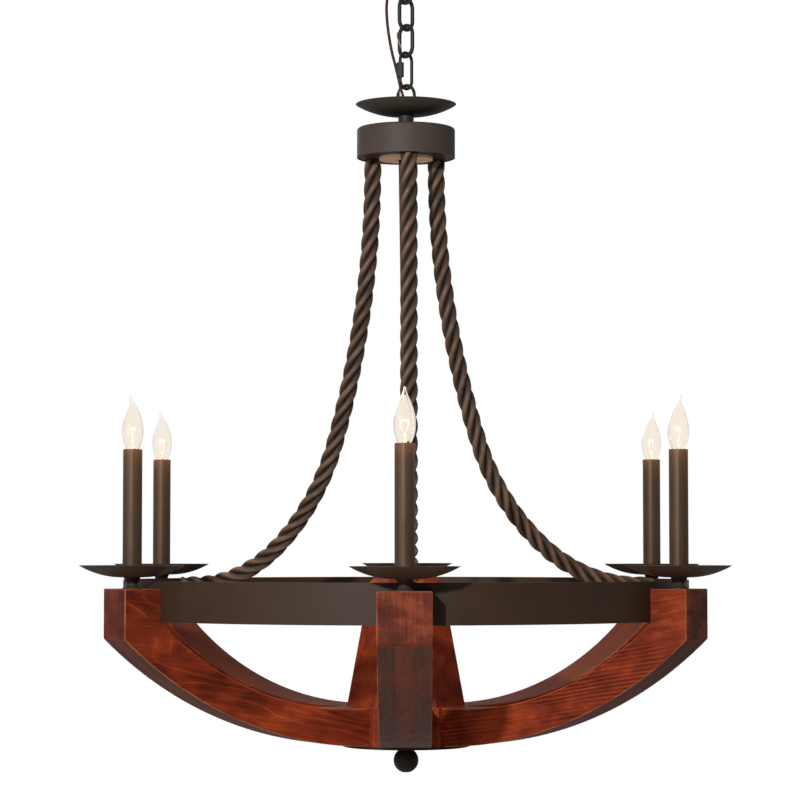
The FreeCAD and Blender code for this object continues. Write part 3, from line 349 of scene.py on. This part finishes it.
def wood(name, seed, lift, figure, azimuth=None):
    """Red-brown stained hardwood: boards along an arm at the azimuth, or upright boards round the middle."""
    made = Material(name, Specular_IOR_Level=0.07)
    # the board's number, the grain's slope in degrees, the pith's depth, and how dark the late wood is
    if azimuth is None:
        local = made.place
        x, y, _ = made.parts(local)
        board = made.math("FLOOR", made.math("DIVIDE", made.math("ARCTAN2", y, x), math.radians(60)))
        tilt, pith_depth, banding = 86, 0.04, 0.10
    else:
        local = made.turned(made.place, "Z", -azimuth)
        most = ARM_SIDE - 0.0001
        inside = made.math("MINIMUM", made.math("MAXIMUM", made.parts(local)[1], -most), most)
        board = made.math("FLOOR", made.math("DIVIDE", made.add(inside, ARM_SIDE), BOARD))
        tilt, pith_depth, banding = 9, 1.10, 0.26 - 0.14 * figure
    random_board = made.node("TexWhiteNoise", {"W": made.add(board, seed * 7.31)}, noise_dimensions="1D")
    chance, tint = random_board.outputs["Color"], random_board.outputs["Value"]
    along = made.turned(local, "Y", tilt)
    grainwise = made.shifted(along, made.stretched(chance, 3, 3, 3))
    late, early = year_rings(made, along, grainwise, chance, pith_depth, figure)
    shown = made.spread(made.noise(made.stretched(grainwise, 6, 24, 24), 1.0, 2), 0.40, 0.60)
    streaks = made.noise(made.stretched(grainwise, 12, 300, 300), 1.0, 4, 0.7)
    pores = made.spread(made.noise(made.stretched(grainwise, 22, 620, 620), 1.0, 2), 0.60, 0.72)
    upright_place = made.stretched(made.shifted(made.place, (seed, 0, 0)), 1, 1, 1.6)
    blotch = made.noise(upright_place, 20 - 9 * figure, 4 - 2 * figure, 0.6)
    patches = made.spread(blotch, 0.34, 0.66, -0.06, 0.32 + 0.04 * figure)
    tone = made.add(made.spread(streaks, 0.3, 0.7, 0.20, 0.46), patches)
    tone = made.less(tone, made.times(made.times(late, shown), banding))
    tone = made.add(tone, made.times(made.times(early, shown), 0.26 + 0.12 * figure))
    tone = made.add(tone, made.spread(tint, 0, 1, lift - 0.05, lift + 0.05), clamp=True)
    colour = made.mix(made.times(pores, 0.30), made.ramp(tone, *STAIN), PORE_COLOUR)
    if azimuth is None:
        easing = made.sharp_edges(0.0012)
    else:
        normal = made.turned(made.normal, "Z", -azimuth)
        colour, easing = arm_faces(made, colour, local, normal, board, blotch, lift)
    # the eased edges lightened: partly stain rubbed through, partly a painted highlight where they catch the
    # light
    eased_rub_and_highlight = made.spread(made.noise(made.place, 34, 3), 0.35, 0.65, 0.2, 0.85)
    colour = made.mix(made.times(easing, eased_rub_and_highlight), colour, RUBBED_AND_HIGHLIGHT_COLOUR)
    rough = made.spread(made.add(streaks, made.times(late, 0.2)), 0.3, 0.9, 0.40, 0.58)
    height = made.less(streaks, made.times(pores, 0.8))
    return made.finish(colour, rough, height, strength=0.22, distance=0.0005)


# ---------------------------------------------------------------- glass and glow
def glass():
    """Clear glass with a faint warm tint, greyer where it is seen edge on, a painted reflection of dark
    surroundings. Lamps shine through it.
    """
    made = Material("bulb_glass", Roughness=0.0, IOR=1.25, Transmission_Weight=1.0)
    facing = made.node("LayerWeight", {"Blend": 0.5}).outputs["Facing"]
    # the grey towards the outline is a painted reflection of dark surroundings
    tint = made.ramp(facing, (0.0, (0.985, 0.955, 0.925)), (0.6, (0.94, 0.90, 0.87)),
                     (0.9, (0.62, 0.59, 0.57)), (1.0, (0.30, 0.29, 0.285)))
    made.feed(made.shader.inputs["Base Color"], tint)
    paths = made.node("LightPath").outputs
    lamp_ray = made.math("MAXIMUM", paths["Is Shadow Ray"], paths["Is Diffuse Ray"])
    clear = made.node("BsdfTransparent").outputs[0]
    both = made.node("MixShader", {0: lamp_ray, 1: made.shader.outputs[0], 2: clear}).outputs[0]
    made.feed(made.tree.nodes["Material Output"].inputs["Surface"], both)
    return made.data


def halo():
    """The bright haze round a lit filament, fading out towards its outline."""
    made = Material("bulb_halo", Roughness=1.0, Specular_IOR_Level=0.0, Emission_Strength=0.95)
    facing = made.node("LayerWeight", {"Blend": 0.5}).outputs["Facing"]
    made.feed(made.shader.inputs["Alpha"], made.spread(made.math("POWER", facing, 1.5), 0.0, 0.9, 0.85, 0.0))
    made.feed(made.shader.inputs["Emission Color"], (1.0, 0.93, 0.82))
    return made.finish((0.0, 0.0, 0.0))


def filament():
    made = Material("filament", Emission_Strength=20.0)
    warm = made.mix(made.noise(made.place, 900, 1), (1.0, 0.70, 0.40), (1.0, 0.80, 0.52))
    made.feed(made.shader.inputs["Emission Color"], warm)
    return made.finish(warm, 0.6)


# ---------------------------------------------------------------- shapes
def filled_mesh(name, build, material):
    """A mesh from a bmesh that build(work) fills in."""
    work = bmesh.new()
    build(work)
    bmesh.ops.recalc_face_normals(work, faces=work.faces)
    mesh = bpy.data.meshes.new(name)
    work.to_mesh(mesh)
    work.free()
    mesh.materials.append(material)
    return mesh


def mesh_piece(name, body, build, material):
    """A smooth piece that build(work) fills in, riding on a body unless that is None."""
    mesh = filled_mesh(name, build, material)
    for face in mesh.polygons:
        face.use_smooth = True
    piece = linked(name, mesh)
    if body:
        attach(piece, body)
    return piece


def skin(work, rings, closed_ends=True):
    """Faces between rings of vertices, each ring the same length."""
    for here, there in zip(rings, rings[1:]):
        for i in range(len(here)):
            j = (i + 1) % len(here)
            work.faces.new((here[i], here[j], there[j], there[i]))
    if closed_ends:
        work.faces.new(rings[0])
        work.faces.new(rings[-1])


def circle(sides):
    """The angles of a ring's vertices."""
    return [2 * math.pi * k / sides for k in range(sides)]


def ring_round(work, centre, first, second, radius, sides):
    """A ring of vertices in the plane of two directions at right angles."""
    return [work.verts.new(centre + radius * (math.cos(a) * first + math.sin(a) * second))
            for a in circle(sides)]


def travelling_frames(points):
    """A tangent and two cross directions at each point of a line, turned as little as possible along it."""
    frames, cross = [], None
    for i, point in enumerate(points):
        ahead = (points[min(i + 1, len(points) - 1)] - points[max(i - 1, 0)]).normalized()
        if cross is None:
            cross = ahead.orthogonal().normalized()
        cross = (cross - ahead * cross.dot(ahead)).normalized()
        frames.append((ahead, cross, ahead.cross(cross)))
    return frames


def tube(work, points, frames, radius, sides=14):
    skin(work, [ring_round(work, point, first, second, radius, sides)
                for point, (_, first, second) in zip(points, frames)])


def wire(work, points, radius, sides=14):
    tube(work, points, travelling_frames(points), radius, sides)


def lathe(work, profile, centre, sides, closed_ends=True):
    """A turned shape through profile (radius, height) round the vertical through centre, as its rings."""
    rings = [[work.verts.new(Vector(centre) + Vector((radius * math.cos(a), radius * math.sin(a), height)))
              for a in circle(sides)] for radius, height in profile]
    skin(work, rings, closed_ends)
    return rings


def spline_points(name, route):
    """Points along the NURBS line that has the route's points as its control points."""
    curve = bpy.data.curves.new(name, "CURVE")
    curve.dimensions = "3D"
    curve.resolution_u = 24
    spline = curve.splines.new("NURBS")
    spline.points.add(len(route) - 1)
    for control, place in zip(spline.points, route):
        control.co = (*place, 1)
    spline.order_u = 3
    spline.use_endpoint_u = True
    holder = linked(name, curve)
    bpy.context.view_layer.update()
    mesh = bpy.data.meshes.new_from_object(holder)
    points = [v.co.copy() for v in mesh.vertices]
    bpy.data.objects.remove(holder)
    bpy.data.meshes.remove(mesh)
    bpy.data.curves.remove(curve)
    return points


# ---------------------------------------------------------------- cords
# From the canopy's loop down beside the chain and into the fixture's loop.
LAMP_CORD = (
    (-0.0009, 0, -0.034), (-0.0009, 0, -0.052), (-0.008, 0.0055, -0.066), (-0.021, 0.006, -0.0815),
    (-0.0308, 0, -0.118), (-0.029, -0.002, -0.158), (-0.0225, -0.001, -0.197), (-0.0165, 0.0004, -0.219),
    (-0.011, 0.0008, -0.242), (-0.008, 0, -0.2575), (-0.0013, 0, -0.276), (-0.0008, 0, -0.290),
)
# The cord passes from one piece of the chain to the next at these heights.
PASSES_AT = (-0.09975, -0.138, -0.1775, -0.2305)
# From inside the hub straight down into the post's pipe.
LOWER_LEAD = ((-0.009, 0, -0.35475), (-0.00861, 0, -0.383), (-0.0004, 0, -0.976), (0, 0, -1.0043))
CORD_RADIUS, LEAD_RADIUS = 0.0022, 0.0026


def make_lamp_cord(material):
    points = spline_points("lamp_cord_line", LAMP_CORD)
    frames = travelling_frames(points)
    passes = [next(i for i, point in enumerate(points) if point.z <= height) for height in PASSES_AT]
    cuts = [0, *passes, len(points) - 1]
    for number, (first, last) in enumerate(zip(cuts, cuts[1:]), start=1):
        here, turns = points[first:last + 1], frames[first:last + 1]
        cord = mesh_piece(f"cord_{number}", None, lambda work: tube(work, here, turns, CORD_RADIUS),
                          material)
        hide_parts(f"lamp_cord_{number}")
        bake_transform(cord)


def make_lower_lead(material):
    points = spline_points("lead_line", LOWER_LEAD)
    lead = mesh_piece("lead", "fixture", lambda work: wire(work, points, LEAD_RADIUS),
                      material)
    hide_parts("lower_lead")


# ---------------------------------------------------------------- ground wire
GROUND_STRAND_RADIUS, GROUND_END_RADIUS = 0.0007, 0.0006
# The leg of the third link that the strand is laid round, and how far from the leg's middle it lies.
LINK_LEG, LAID_AT = Vector((-0.00994, 0.00994, 0)), 0.0038
# The azimuth where the strand begins, the height there, and how far it comes down in its half turn.
LAID_FROM, LAID_TOP, LAID_DROP, LAID_STEPS = 150, -0.1655, 0.0275, 16
# How far aside each point of an end stands, and its height.
GROUND_END = ((0.0, -0.2600), (0.0010, -0.2655), (0.0024, -0.2710), (0.0036, -0.2765))


def make_ground_wire(material):
    """A bare copper strand laid half a turn round the third link's leg, and its two ends at the loop."""
    twist = []
    for step in range(LAID_STEPS + 1):
        angle = math.radians(LAID_FROM + 180 * step / LAID_STEPS)
        height = LAID_TOP - LAID_DROP * step / LAID_STEPS
        twist.append(LINK_LEG + Vector((LAID_AT * math.cos(angle), LAID_AT * math.sin(angle), height)))
    mesh_piece("ground_strand", "link_3", lambda work: wire(work, twist, GROUND_STRAND_RADIUS, 8),
               material)
    for side in (0, 1):
        left, near = -0.0105 + 0.0022 * side, -0.0036 - 0.0008 * side
        end = [Vector((left + x, near, z)) for x, z in GROUND_END]
        mesh_piece(f"ground_end_{side}", "fixture", lambda work: wire(work, end, GROUND_END_RADIUS, 8),
                   material)


# ---------------------------------------------------------------- twisted rods
STRANDS, STRAND_SIDES = 4, 14
# The circle that the strands' middles lie on, a strand's radius, and the length of one full turn.
STRAND_CIRCLE, STRAND_RADIUS, LAY = 0.00797, 0.00563, 0.114
# A strand is cut aslant, so it's this much wider along its circle.
STRAND_WIDENING = 1.07
# The tone is darkest up to the first radius, a painted shade in the grooves, and lightest at the second, the
# rod's own, partly rubbed and partly a painted highlight.
GROOVE_RADIUS, ROD_RADIUS = 0.0100, 0.0136
# From the middle to a rod's foot in the hub, the foot's height, and the ring's inner radius.
ROD_FOOT, ROD_TOP, RING_INSIDE = 0.0570, -0.36275, 0.4260
# Degrees that the rods' feet are turned round the hub.
FOOT_TURN = 4.8
# A rod goes down upright, then bends outward in three arcs of (radius, degrees), then goes on level.
ROD_UPRIGHT = 0.00957
ROD_BENDS = ((1.3295, 18.72), (0.3689, 30.53), (0.2615, 40.75))
# About how far apart its stations are.
ROD_STEP = 0.0042
# The stud on top of a rod, as (radius, height).
STUD = ((0.005, ROD_TOP - 0.001), (0.005, ROD_TOP + 0.013), (0.0042, ROD_TOP + 0.014))


def rod_end(lean_turn):
    """A rod's reach and its end's slant: it passes the middle aside and meets the ring a little askew."""
    aside = math.radians(lean_turn - FOOT_TURN)
    passing = ROD_FOOT * math.sin(aside)
    square_reach = math.sqrt(RING_INSIDE ** 2 - passing ** 2)
    wall_reach = math.sqrt(RING_INSIDE ** 2 - ROD_RADIUS ** 2)
    reach = (wall_reach * RING_INSIDE - passing ** 2) / square_reach - ROD_FOOT * math.cos(aside)
    return reach, passing / square_reach


def rod_line(end_reach):
    """The rod's middle line as (reach, height, lean, distance along it), leaning from upright to level."""
    stations = [(0.0, ROD_TOP, 0.0, 0.0)]

    def go_on(length):
        count = max(1, round(length / ROD_STEP))
        for _ in range(count):
            reach, height, lean, distance = stations[-1]
            reach += math.sin(lean) * length / count
            height -= math.cos(lean) * length / count
            stations.append((reach, height, lean, distance + length / count))

    def bend(radius, turn):
        count = max(1, round(radius * turn / ROD_STEP))
        for _ in range(count):
            reach, height, lean, distance = stations[-1]
            after = lean + turn / count
            reach += radius * (math.cos(lean) - math.cos(after))
            height -= radius * (math.sin(after) - math.sin(lean))
            stations.append((reach, height, after, distance + radius * turn / count))

    go_on(ROD_UPRIGHT)
    for radius, degrees in ROD_BENDS:
        bend(radius, math.radians(degrees))
    go_on(end_reach - stations[-1][0])
    return stations


def make_rope(number, azimuth, lean_turn, material):
    end_reach, slant = rod_end(lean_turn)
    about = Matrix.Rotation(math.radians(azimuth + lean_turn), 3, "Z")
    foot = Matrix.Rotation(math.radians(azimuth + FOOT_TURN), 3, "Z") @ Vector((ROD_FOOT, 0, 0))
    stations = rod_line(end_reach)

    def build(work):
        crest = work.verts.layers.float.new("crest")

        def strand_ring(strand, station):
            reach, height, lean, distance = station
            outward = Vector((math.cos(lean), 0, math.sin(lean)))
            along = Vector((math.sin(lean), 0, -math.cos(lean)))
            angle = math.radians(90 + 360 / STRANDS * strand) + 2 * math.pi * distance / LAY
            away = math.cos(angle) * outward + math.sin(angle) * along.cross(outward)
            around = along.cross(away)
            ring = []
            for a in circle(STRAND_SIDES):
                local = away * (STRAND_CIRCLE + STRAND_RADIUS * math.cos(a))
                local += around * (STRAND_WIDENING * STRAND_RADIUS * math.sin(a))
                if station is stations[-1]:
                    local.x += slant * local.y
                vertex = work.verts.new(foot + about @ (Vector((reach, 0, height)) + local))
                rise = (local.length - GROOVE_RADIUS) / (ROD_RADIUS - GROOVE_RADIUS)
                vertex[crest] = max(0.0, min(1.0, rise))
                ring.append(vertex)
            return ring

        for strand in range(STRANDS):
            skin(work, [strand_ring(strand, station) for station in stations])
        lathe(work, STUD, (foot.x, foot.y, 0), 20)

    rope = mesh_piece(f"rope_{number}", "fixture", build, material)
    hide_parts(f"twisted_rod_{number}")


# ---------------------------------------------------------------- bulbs
# Shares of the glass's height, widest radius and lean.
BULB = ((0.00, 0.37, 0.00), (0.02, 0.48, 0.00), (0.05, 0.61, 0.00), (0.14, 0.80, 0.00), (0.24, 0.94, 0.00),
        (0.37, 1.00, 0.00), (0.51, 0.94, 0.00), (0.65, 0.74, 0.05), (0.77, 0.48, 0.18), (0.865, 0.235, 0.48),
        (0.94, 0.12, 0.86), (1.00, 0.075, 1.00))
BULB_HEIGHT, BULB_RADIUS, BULB_LEAN, GLASS_WALL = 0.0828, 0.0159, 0.0042, 0.0007
BULB_SIDES = 28
# The haze's width and height as shares of the glass's, and how far up the glass it begins.
HAZE_WIDTH, HAZE_HEIGHT, HAZE_FROM = 0.84, 0.86, 0.05
# The screw base below the glass's foot: its turns of thread, their pitch, the lowest turn's height, and the
# radii at the bottom and at the crest of the thread.
THREADS, THREAD_PITCH, THREADS_FROM = 9, 0.0018, -0.0182
THREAD_ROOT, THREAD_CREST = 0.0054, 0.00592
# The glass stem inside the bulb as (radius, height), and its two wires as (distance aside, height).
LAMP_STEM = ((0.0050, 0.0008), (0.0040, 0.003), (0.0024, 0.007), (0.0019, 0.012), (0.0024, 0.0155),
             (0.0012, 0.0172))
LAMP_WIRE = ((0.0012, 0.014), (0.0022, 0.019), (0.0052, 0.029), (0.0056, 0.0325))
LAMP_WIRE_RADIUS = 0.00028
# The filament's coil arches from one wire's end to the other's.
COIL_POINTS, COIL_TURNS, COIL_RADIUS, COIL_WIRE_RADIUS = 160, 13, 0.0008, 0.00032
ARCH_REACH, ARCH_RISE, ARCH_FOOT = 0.0054, 0.0030, 0.0325
UP = Vector((0, 0, 1))
# The light of a bulb, as a ball round the filament and a disc that shines down on its dish: name, kind,
# height above the glass's foot, watts and size.
BULB_LIGHTS = (("glow", "POINT", 0.033, 1.0, 0.012), ("spill", "AREA", 0.030, 0.5, 0.062))
BULB_LIGHT_COLOUR = (1.0, 0.60, 0.32)


def smoothed(piece, levels):
    smoother = piece.modifiers.new("smooth", "SUBSURF")
    smoother.levels = smoother.render_levels = levels


def envelope(work, foot, outward, side, inset):
    """The bulb's glass, or the hollow in it when inset: that begins above the foot and ends below the tip."""
    rings = []
    for height, radius, lean in BULB:
        rise = min(height * BULB_HEIGHT, BULB_HEIGHT - 2.2 * inset)
        if inset and height == 0:
            rise += 0.0006
        centre = foot + outward * lean * BULB_LEAN + Vector((0, 0, rise))
        width = max(0.0004, radius * BULB_RADIUS - inset)
        rings.append(ring_round(work, centre, outward, side, width, BULB_SIDES))
    skin(work, rings)


def haze(work, foot, outward, side):
    """A smaller bulb inside the glass, for the glow to stand in."""
    rings = []
    for height, radius, lean in BULB[1:-1]:
        rise = (HAZE_FROM + HAZE_HEIGHT * height) * BULB_HEIGHT
        centre = foot + outward * lean * BULB_LEAN + Vector((0, 0, rise))
        rings.append(ring_round(work, centre, outward, side, HAZE_WIDTH * radius * BULB_RADIUS, BULB_SIDES))
    skin(work, rings)


def screw_base(work, foot):
    profile = [(0.0024, -0.021), (0.0024, -0.0195), (0.0045, THREADS_FROM)]
    for thread in range(THREADS):
        height = THREADS_FROM + THREAD_PITCH * thread
        profile += [(THREAD_ROOT, height + 0.0004), (THREAD_CREST, height + 0.0010),
                    (THREAD_ROOT, height + 0.0017)]
    profile += [(0.0056, -0.002), (0.0056, 0.0012)]
    lathe(work, profile, foot, 32)


def lamp_mount(work, foot, side):
    lathe(work, LAMP_STEM, foot, 20)
    for hand in (-1, 1):
        leg = [foot + side * hand * aside + Vector((0, 0, height)) for aside, height in LAMP_WIRE]
        wire(work, leg, LAMP_WIRE_RADIUS, 8)


def coil(work, foot, outward, side):
    points = []
    for k in range(COIL_POINTS + 1):
        share = k / COIL_POINTS
        arch = math.pi * (share - 0.5)
        height = ARCH_FOOT + ARCH_RISE * math.cos(arch)
        middle = foot + side * ARCH_REACH * math.sin(arch) + Vector((0, 0, height))
        turn = share * 2 * COIL_TURNS * math.pi
        points.append(middle + COIL_RADIUS * (math.cos(turn) * outward + math.sin(turn) * UP))
    wire(work, points, COIL_WIRE_RADIUS, 6)


def make_bulb(number, azimuth, materials):
    body = f"bulb_{number}"
    _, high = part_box(body)
    outward = Vector((math.cos(math.radians(azimuth)), math.sin(math.radians(azimuth)), 0))
    side = Vector((-outward.y, outward.x, 0))
    foot = CANDLE_REACH * outward + Vector((0, 0, high.z - BULB_HEIGHT))

    def piece(name, material, slot, build, *shape):
        return mesh_piece(f"{name}_{number}", body, lambda work: build(work, *shape),
                          materials[material])

    shell = piece("glass", "glass", "lamp_glass", envelope, foot, outward, side, 0.0)
    hollow = piece("glass_hollow", "glass", "lamp_glass", envelope, foot, outward, side, GLASS_WALL)
    hollow.data.flip_normals()
    smoothed(shell, 2)
    smoothed(hollow, 2)
    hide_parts(body)
    cloud = piece("glow", "halo", "lamp_glass", haze, foot, outward, side)
    smoothed(cloud, 1)
    piece("screw_base", "brass", "zinc_steel", screw_base, foot)
    piece("lamp_mount", "mount", "zinc_steel", lamp_mount, foot, side)
    piece("filament", "filament", "zinc_steel", coil, foot, outward, side)

    for name, kind, height, watts, size in BULB_LIGHTS:
        data = bpy.data.lights.new(f"{name}_{number}", kind)
        data.energy, data.color = watts, BULB_LIGHT_COLOUR
        if kind == "AREA":
            data.shape, data.size = "DISK", size
        else:
            data.shadow_soft_size = size
        lamp = linked(f"{name}_{number}", data, foot + Vector((0, 0, height)))
        lamp.visible_camera = lamp.visible_glossy = lamp.visible_transmission = False


# ---------------------------------------------------------------- floor
FLOOR_HEIGHT = -2.35
FLOOR_RADII = (0.5, 3.0, 5.0)


def make_floor():
    made = Material("floor")
    grain = made.noise(made.place, 3, 4)
    colour = made.mix(made.spread(grain, 0.3, 0.7), (0.86, 0.86, 0.855), (0.89, 0.89, 0.885))
    made.finish(colour, 0.7, grain, strength=0.05, distance=0.002)

    def build(work):
        profile = [(radius, FLOOR_HEIGHT) for radius in FLOOR_RADII]
        rings = lathe(work, profile, (0, 0, 0), 96, closed_ends=False)
        work.faces.new(rings[0])

    mesh = filled_mesh("floor", build, made.data)
    linked("floor", mesh)


# ---------------------------------------------------------------- the whole
def dress(material, *nodes):
    """Gives nodes of the frame this material."""
    for node in nodes:
        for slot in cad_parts[node].material_slots:
            slot.material = material


def numbered(name, count):
    return [f"{name}_{i}" for i in range(1, count + 1)]


make_camera()
sheath = cord_sheath()
make_lamp_cord(sheath)
make_lower_lead(sheath)
make_ground_wire(metal("bare_copper", (0.62, 0.30, 0.18), (0.7, 0.42, 0.28), metallic=0.3, roughness=0.4,
                       edge_width=0.0001, gloss=0.3))

dress(metal("dark_bronze", (0.048, 0.028, 0.017), (0.13, 0.075, 0.045), roughness=0.48, edge_width=0.001,
            gloss=0.14),
      "canopy", "canopy_loop", "canopy_ring_nut", "hub_plate", "dish_stems", *numbered("drip_dish", 6))
dress(metal("ring_bronze", (0.034, 0.0182, 0.0104), (0.16, 0.095, 0.06), roughness=0.46, edge_width=0.0007,
            gloss=0.17),
      "ring")
dress(metal("low_bronze", (0.021, 0.0145, 0.0095), (0.05, 0.038, 0.03), roughness=0.45, gloss=0.12),
      "base_plate", "ball_finial")
# The hub in a lighter, greyer bronze. The top dish wears it too, lighter than its own bronze, as painted
# light on its downward face.
dress(metal("hub_and_lit_dish_bronze", (0.062, 0.048, 0.038), (0.13, 0.095, 0.07), roughness=0.55, gloss=0.17),
      "hub_drum", "top_dish")
dress(metal("chain_bronze", (0.030, 0.025, 0.022), (0.07, 0.058, 0.048), roughness=0.4, edge_width=0.0003,
            gloss=0.14),
      *numbered("chain_link", 3), "quick_link", "quick_link_nut", "fixture_loop", "hub_neck")
dress(metal("sleeve_bronze", (0.052, 0.031, 0.0175), (0.14, 0.085, 0.05), roughness=0.36, edge_width=0.0005,
            gloss=0.36, sheen=(1.0, 0.78, 0.62)),
      *numbered("candle_sleeve", 6))
# The hub's cover and the post's top nut: a light tan plate, made brighter than its own tone as painted light
# from the bulbs.
dress(metal("cover_tan_and_painted_light", (0.80, 0.54, 0.38), (0.85, 0.6, 0.45), roughness=0.5),
      "hub_cover", "post_top_nut")
dress(metal("zinc", (0.42, 0.42, 0.42), (0.6, 0.6, 0.6), metallic=0.9, roughness=0.35, edge_width=0.0005,
            cloud=0.1),
      "mounting_bar", "ring_screws", "hub_nuts", "hub_pipe", "post_pipe")
dress(metal("socket_dark", (0.03, 0.026, 0.023), (0.07, 0.06, 0.05), roughness=0.5), "lamp_sockets")
for number, (azimuth, lift, figure) in enumerate(ARMS, start=1):
    dress(wood(f"arm_wood_{number}", number, lift, figure, azimuth), f"arm_{number}")
dress(wood("core_wood", 11, lift=0.08, figure=0.1), "core")
dress(wood("post_wood", 12, lift=0.06, figure=0.2), "post")

rope_bronze = rope_metal()
for number, (azimuth, lean_turn) in enumerate(RODS, start=1):
    make_rope(number, azimuth, lean_turn, rope_bronze)

bulb_materials = {
    "glass": glass(),
    "halo": halo(),
    "filament": filament(),
    "brass": metal("base_brass", (0.55, 0.42, 0.2), (0.7, 0.6, 0.4), metallic=1.0, roughness=0.3,
                   edge_width=0.0002, cloud=0.1),
    "mount": metal("mount_glass", (0.35, 0.33, 0.31), (0.5, 0.48, 0.45), metallic=0.2, roughness=0.25,
                   edge_width=0.0002, cloud=0.1),
}
for number, (azimuth, _, _) in enumerate(ARMS, start=1):
    make_bulb(number, azimuth, bulb_materials)

make_floor()
make_world()
make_lights()
